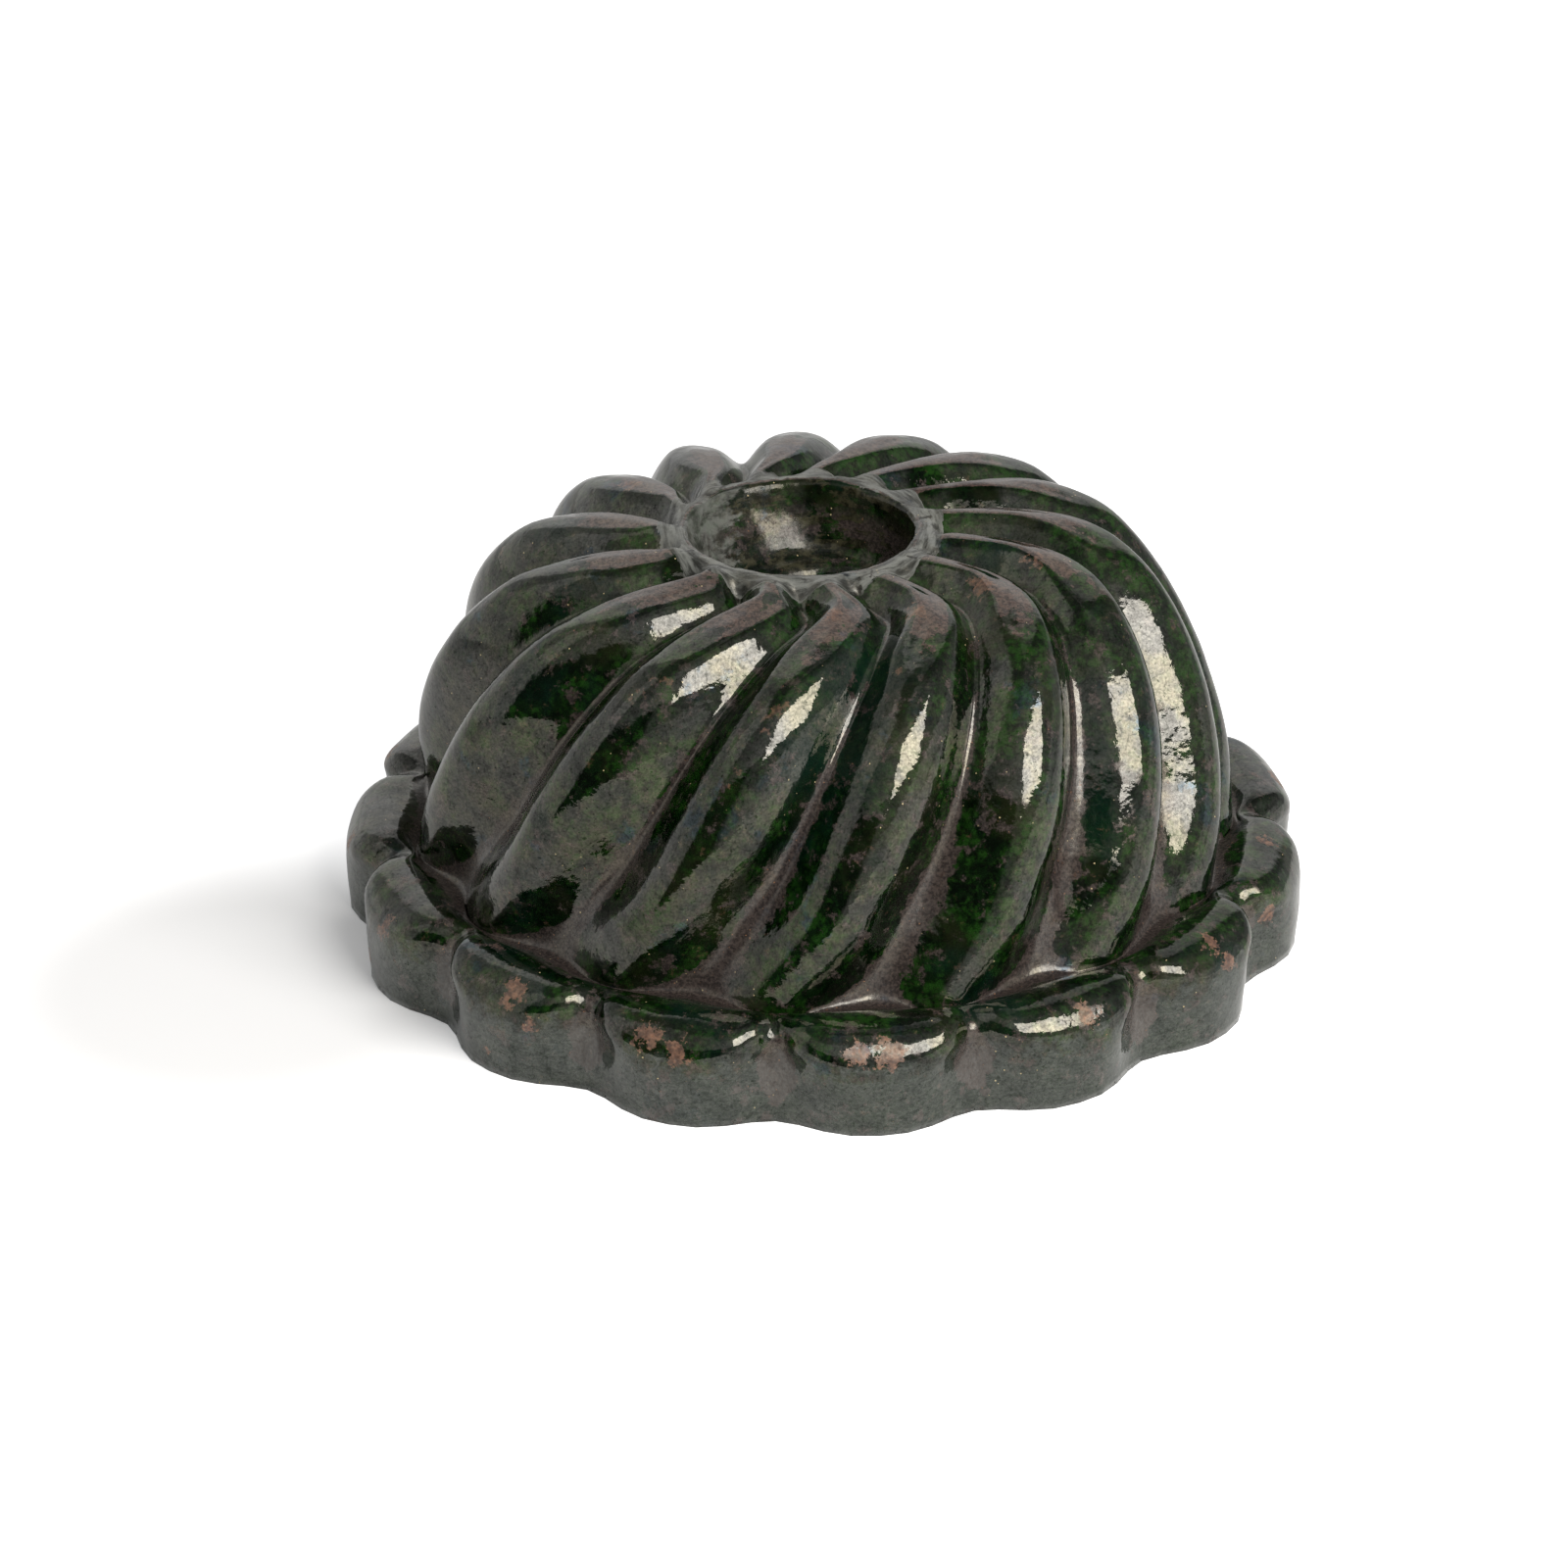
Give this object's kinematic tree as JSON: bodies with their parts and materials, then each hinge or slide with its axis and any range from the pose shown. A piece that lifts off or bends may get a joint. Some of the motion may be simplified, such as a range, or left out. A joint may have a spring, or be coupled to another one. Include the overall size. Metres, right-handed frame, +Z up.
{
  "type": "bundt pan",
  "caption": "Round ceramic bundt pan with swirled flutes, a scalloped rim and an open funnel through the middle, standing mouth down.",
  "frame": {"origin": "middle of the flat foot the pan stands on, mouth down", "axes": "+Z up along the pan's axis, towards the funnel's mouth; the picture looks along +Y"},
  "size_m": [0.2484, 0.2491, 0.108],
  "materials": {
    "glaze": "glossy deep green lead glaze over red clay, worn to the clay on the rim"
  },
  "bodies": {
    "root": {"bundt_pan": "glaze"}
  },
  "joints": []
}
